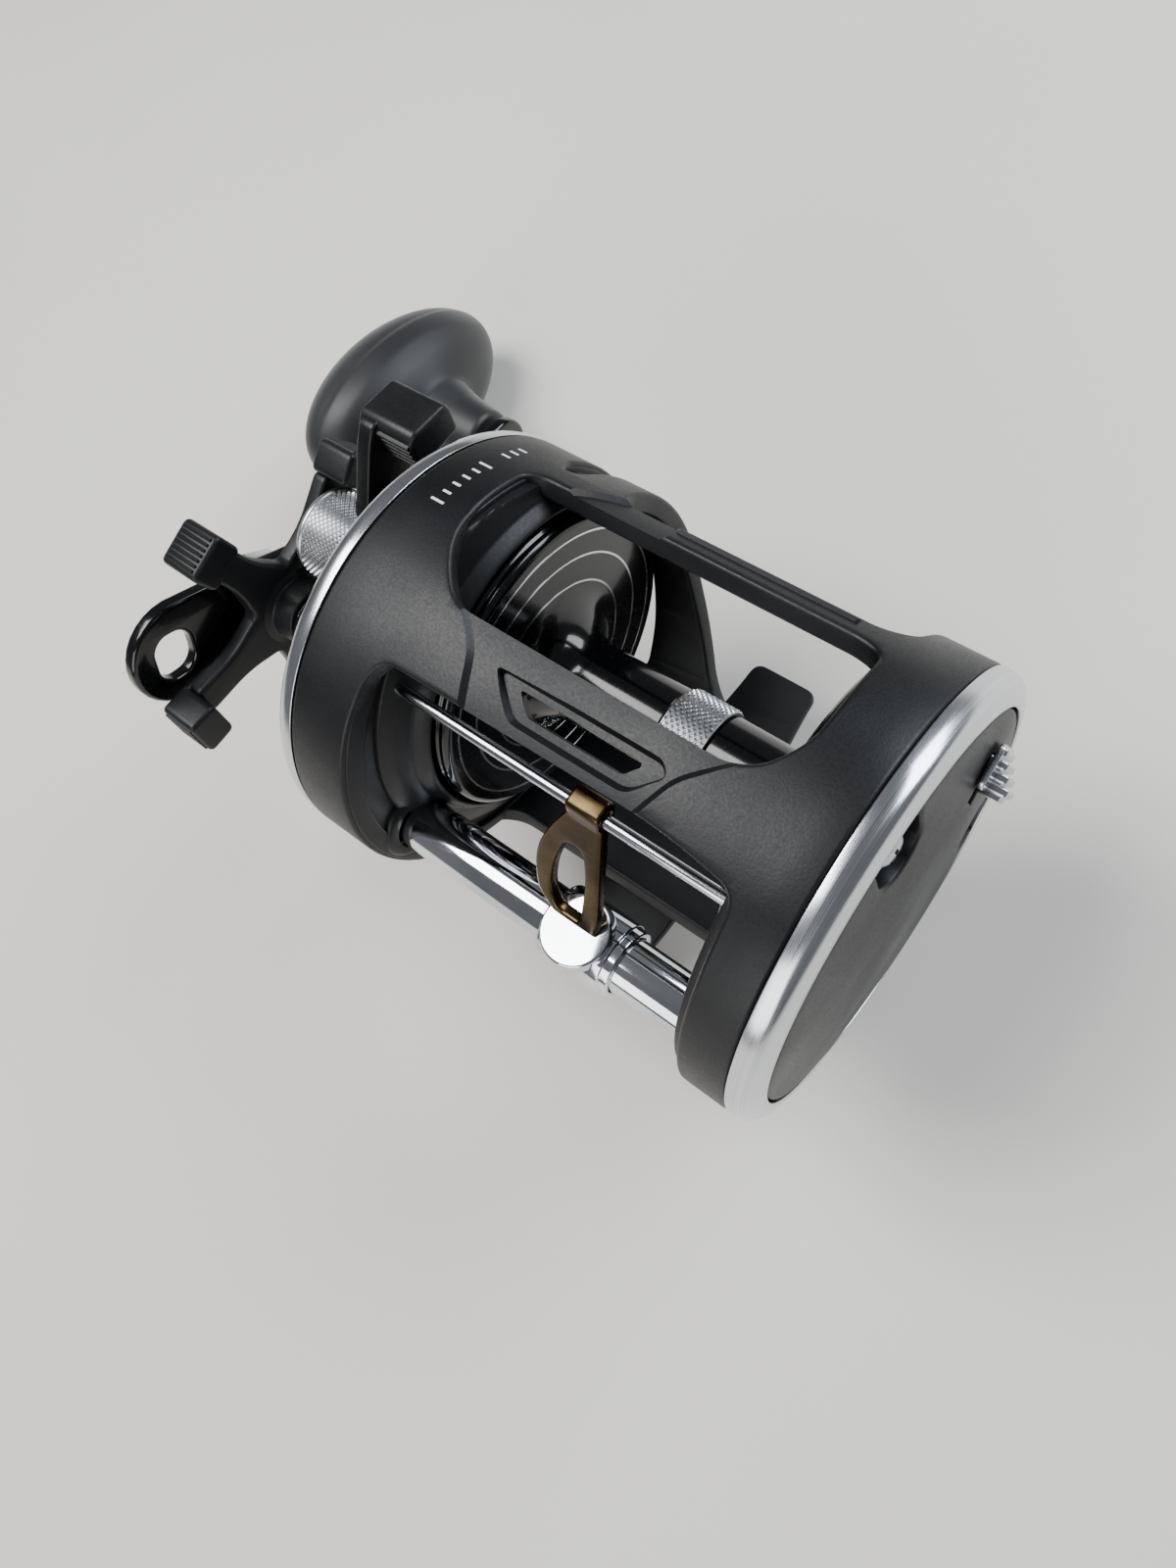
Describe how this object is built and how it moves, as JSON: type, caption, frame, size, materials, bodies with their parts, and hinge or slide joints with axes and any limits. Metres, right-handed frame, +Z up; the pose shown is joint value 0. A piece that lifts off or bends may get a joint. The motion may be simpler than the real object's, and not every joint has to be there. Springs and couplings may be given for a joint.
{
  "type": "level-wind multiplier fishing reel",
  "caption": "Level-wind multiplier reel: round frame on a foot, cupped spool, star drag, crank with knob, sliding line guide and clicker.",
  "frame": {"origin": "middle of the underside of the reel foot, where it sits on a rod's seat", "axes": "+Z up from the foot through the body, +X along the spool away from the handle, -Y the way the line leaves"},
  "size_m": [0.1813, 0.1166, 0.0946],
  "materials": {
    "graphite": "moulded matte black graphite composite",
    "gloss_black": "gloss black anodised aluminium",
    "soft_rubber": "soft-touch moulded rubber",
    "silver": "satin turned aluminium",
    "chrome": "polished chrome plate",
    "steel": "turned stainless steel",
    "bronze": "bronze-coloured plated brass",
    "brass": "machined brass",
    "nylon": "moulded nylon",
    "carbon": "carbon fibre friction disc"
  },
  "bodies": {
    "frame_body": {"frame": "graphite", "reel_foot": "graphite", "foot_screw_1": "steel", "foot_screw_2": "steel", "left_trim_ring": "silver", "right_trim_ring": "silver", "left_cover": "graphite", "left_cover_screw_1": "silver", "left_cover_screw_2": "silver", "handle_side_cover": "graphite", "handle_side_screw_1": "steel", "handle_side_screw_2": "steel", "handle_side_screw_3": "steel", "inner_side_plate": "graphite", "left_spool_bearing": "steel", "right_spool_bearing": "steel", "handle_shaft_bearing": "steel", "level_wind_tube": "chrome", "guide_rod": "steel", "worm_bush_right": "nylon", "worm_bush_left": "nylon", "click_spring": "steel", "dog_spring": "steel"},
    "spool_body": {"spool": "gloss_black", "spool_knurled_band": "silver", "spool_shaft": "steel", "click_ratchet": "brass"},
    "crank_body": {"gear_shaft": "steel", "main_gear": "bronze", "drag_washer_inner": "carbon", "drag_metal_washer": "steel", "drag_washer_outer": "carbon", "drag_pressure_washer": "steel", "drag_spacer_sleeve": "steel", "drag_spring_washer": "steel", "wind_drive_gear": "nylon", "anti_reverse_ratchet": "steel", "handle_arm": "gloss_black", "handle_nut": "silver", "knob_post": "steel"},
    "star_body": {"star_drag_wheel": "graphite"},
    "knob_body": {"handle_knob": "soft_rubber"},
    "yoke_body": {"pinion_yoke": "nylon", "yoke_spring_1": "steel", "yoke_spring_2": "steel"},
    "pinion_body": {"pinion": "brass"},
    "lever_body": {"free_spool_lever": "graphite", "eccentric_cam": "steel"},
    "idler_body": {"wind_idler_gear": "nylon"},
    "worm_body": {"worm_shaft": "steel", "worm_gear": "nylon"},
    "carriage_body": {"level_wind_carriage": "chrome", "pawl_cap": "chrome", "line_guide": "bronze"},
    "pawl_body": {"level_wind_pawl": "steel"},
    "cast_cap_body": {"cast_control_cap": "silver", "cast_control_disc": "brass"},
    "clicker_body": {"clicker_button": "silver", "click_tongue": "brass"},
    "dog_body": {"anti_reverse_dog": "steel"}
  },
  "joints": [
    {"name": "crank_turn", "type": "hinge", "parent": "frame_body", "child": "crank_body", "pos_m": [-0.058, -0.00869, 0.03794], "axis": [1, 0, 0], "continuous": true},
    {"name": "spool_spin", "type": "hinge", "parent": "frame_body", "child": "spool_body", "pos_m": [0.002, 0.0059, 0.0445], "axis": [1, 0, 0], "continuous": true},
    {"name": "star_drag_turn", "type": "hinge", "parent": "crank_body", "child": "star_body", "pos_m": [-0.078, -0.00869, 0.03794], "axis": [1, 0, 0], "range_deg": [-60, 60]},
    {"name": "knob_spin", "type": "hinge", "parent": "crank_body", "child": "knob_body", "pos_m": [-0.108, 0.04846, 0.00494], "axis": [1, 0, 0], "continuous": true},
    {"name": "lever_swing", "type": "hinge", "parent": "frame_body", "child": "lever_body", "pos_m": [-0.058, 0.012, 0.0575], "axis": [-1, 0, 0], "range_deg": [0, 35]},
    {"name": "yoke_slide", "type": "slide", "parent": "frame_body", "child": "yoke_body", "axis": [-1, 0, 0], "range_m": [0, 0.0024]},
    {"name": "pinion_spin", "type": "hinge", "parent": "yoke_body", "child": "pinion_body", "pos_m": [-0.039, 0.0059, 0.0445], "axis": [1, 0, 0], "continuous": true},
    {"name": "idler_spin", "type": "hinge", "parent": "frame_body", "child": "idler_body", "pos_m": [-0.0336, -0.02301, 0.03345], "axis": [1, 0, 0], "continuous": true},
    {"name": "worm_spin", "type": "hinge", "parent": "frame_body", "child": "worm_body", "pos_m": [0.002, -0.0285, 0.0424], "axis": [1, 0, 0], "continuous": true},
    {"name": "carriage_slide", "type": "slide", "parent": "frame_body", "child": "carriage_body", "axis": [1, 0, 0], "range_m": [-0.026, 0.0125]},
    {"name": "pawl_swivel", "type": "hinge", "parent": "carriage_body", "child": "pawl_body", "pos_m": [0.0102, -0.0285, 0.0365], "axis": [0, 0, 1], "range_deg": [-25, 25]},
    {"name": "cast_cap_turn", "type": "hinge", "parent": "frame_body", "child": "cast_cap_body", "pos_m": [-0.068, 0.0059, 0.0445], "axis": [1, 0, 0], "range_deg": [-90, 90]},
    {"name": "clicker_slide", "type": "slide", "parent": "frame_body", "child": "clicker_body", "axis": [0, -0.9617, -0.274], "range_m": [0, 0.004]},
    {"name": "dog_lift", "type": "hinge", "parent": "frame_body", "child": "dog_body", "pos_m": [-0.036, -0.00259, 0.02646], "axis": [1, 0, 0], "range_deg": [0, 8], "stiffness_Nm_per_rad": 0.002}
  ],
  "couplings": [
    {"joint": "spool_spin", "follows": "crank_turn", "ratio": -4.3333},
    {"joint": "pinion_spin", "follows": "crank_turn", "ratio": -4.3333},
    {"joint": "idler_spin", "follows": "crank_turn", "ratio": -1.5},
    {"joint": "worm_spin", "follows": "crank_turn", "ratio": 2},
    {"joint": "yoke_slide", "follows": "lever_swing", "m_per_rad": 0.003928}
  ]
}
